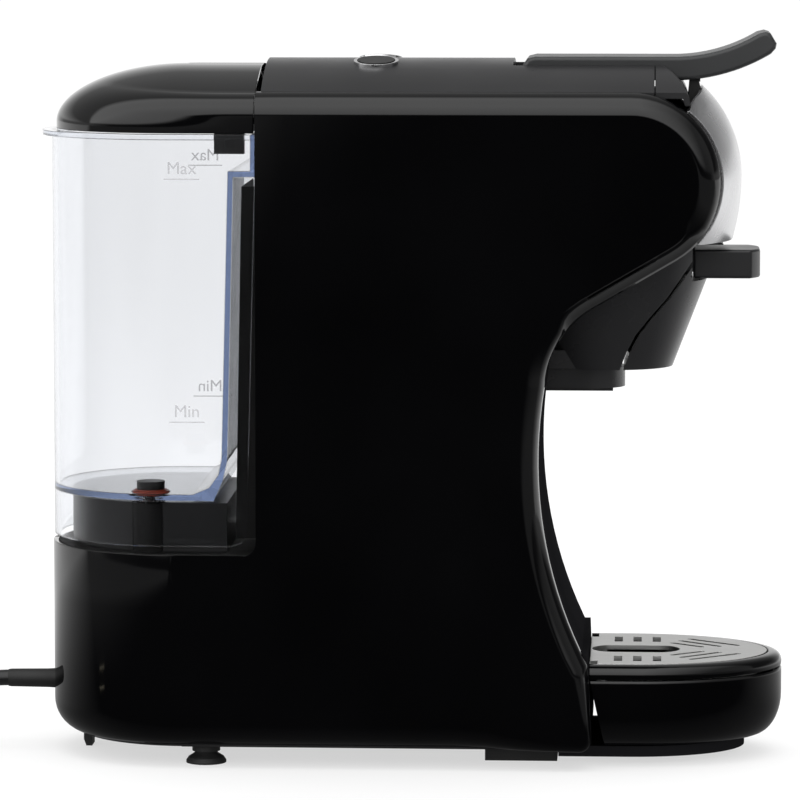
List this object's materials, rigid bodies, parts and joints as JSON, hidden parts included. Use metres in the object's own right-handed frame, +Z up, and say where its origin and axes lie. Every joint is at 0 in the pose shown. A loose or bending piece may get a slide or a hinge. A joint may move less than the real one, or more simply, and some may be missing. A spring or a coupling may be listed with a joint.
{
  "type": "pod coffee machine",
  "caption": "Upright pod coffee machine with a lifting lever, slide-in capsule holder, clear lift-off rear water tank and a front drip tray with a steel grid.",
  "frame": {"origin": "on the surface under the feet, in the middle of the machine's width and depth, without its power cord", "axes": "+Z up, -Y the front with the lever tip and drip tray, +Y the water tank and cord, X the width"},
  "size_m": [0.16, 0.4617, 0.3118],
  "materials": {
    "gloss_black": "high gloss",
    "satin_black": "satin",
    "top_dark": "satin",
    "lever_dark": "satin",
    "silver_cover": "satin silver grey",
    "clear_tank": "clear",
    "seal_red": "matte",
    "rubber_black": "matte",
    "steel_grid": "brushed",
    "steel_small": "turned",
    "chrome_ring": "polished",
    "contact_metal": "plated",
    "cord_black": "satin"
  },
  "bodies": {
    "housing": {"left_side_shell": "gloss_black", "right_side_shell": "gloss_black", "top_cover": "top_dark", "front_corner": "top_dark", "nose_cover": "silver_cover", "column_front": "satin_black", "rear_wall": "satin_black", "base_deck": "satin_black", "tank_dock": "satin_black", "dock_inlet": "rubber_black", "base_plate": "satin_black", "frame_posts": "satin_black", "base_screws": "steel_small", "head_underside": "satin_black", "brew_head_rear": "satin_black", "brew_head_front": "satin_black", "piston_guide": "satin_black", "spout": "satin_black", "lever_pin": "steel_small", "button_rings": "chrome_ring", "tray_plinth": "satin_black", "front_pad": "rubber_black", "suction_feet": "rubber_black", "rear_foot": "rubber_black", "cord_gland": "rubber_black", "power_cord": "cord_black", "cord_coil": "cord_black", "plug_body": "cord_black", "plug_pins": "contact_metal"},
    "lever": {"lever": "lever_dark", "lever_leg": "satin_black"},
    "piston": {"piston": "satin_black", "needle_seal": "seal_red"},
    "capsule_holder": {"holder_handle": "satin_black", "holder_basket": "satin_black"},
    "drip_tray": {"drip_tray": "gloss_black", "tray_rim": "gloss_black"},
    "drip_grid": {"drip_grid": "steel_grid"},
    "tank": {"tank": "clear_tank"},
    "tank_valve": {"tank_valve": "satin_black", "valve_seal": "seal_red"},
    "tank_lid": {"tank_lid": "gloss_black", "lid_clip": "satin_black"},
    "button_left": {"button_left": "satin_black"},
    "button_right": {"button_right": "satin_black"}
  },
  "joints": [
    {"name": "lever_hinge", "type": "hinge", "parent": "housing", "child": "lever", "pos_m": [0, -0.052, 0.2935], "axis": [-1, 0, 0], "range_deg": [0, 40]},
    {"name": "piston_slide", "type": "slide", "parent": "housing", "child": "piston", "axis": [0, 0, 1], "range_m": [0, 0.012]},
    {"name": "holder_slide", "type": "slide", "parent": "housing", "child": "capsule_holder", "axis": [0, -1, 0], "range_m": [0, 0.085]},
    {"name": "tray_slide", "type": "slide", "parent": "housing", "child": "drip_tray", "axis": [0, -1, 0], "range_m": [0, 0.09]},
    {"name": "grid_lift", "type": "slide", "parent": "drip_tray", "child": "drip_grid", "axis": [0, 0, 1], "range_m": [0, 0.03]},
    {"name": "tank_lift", "type": "slide", "parent": "housing", "child": "tank", "axis": [0, 0, 1], "range_m": [0, 0.17]},
    {"name": "lid_lift", "type": "slide", "parent": "tank", "child": "tank_lid", "axis": [0, 0, 1], "range_m": [0, 0.06]},
    {"name": "valve_lift", "type": "slide", "parent": "tank", "child": "tank_valve", "axis": [0, 0, 1], "range_m": [0, 0.003], "stiffness_N_per_m": 120, "springref_m": -0.002},
    {"name": "button_left_press", "type": "slide", "parent": "housing", "child": "button_left", "axis": [-0.1731, 0, 0.9849], "range_m": [-0.0015, 0], "stiffness_N_per_m": 350, "springref_m": 0.0005},
    {"name": "button_right_press", "type": "slide", "parent": "housing", "child": "button_right", "axis": [0.1731, 0, 0.9849], "range_m": [-0.0015, 0], "stiffness_N_per_m": 350, "springref_m": 0.0005}
  ],
  "couplings": [
    {"joint": "piston_slide", "follows": "lever_hinge", "m_per_rad": 0.01718}
  ]
}
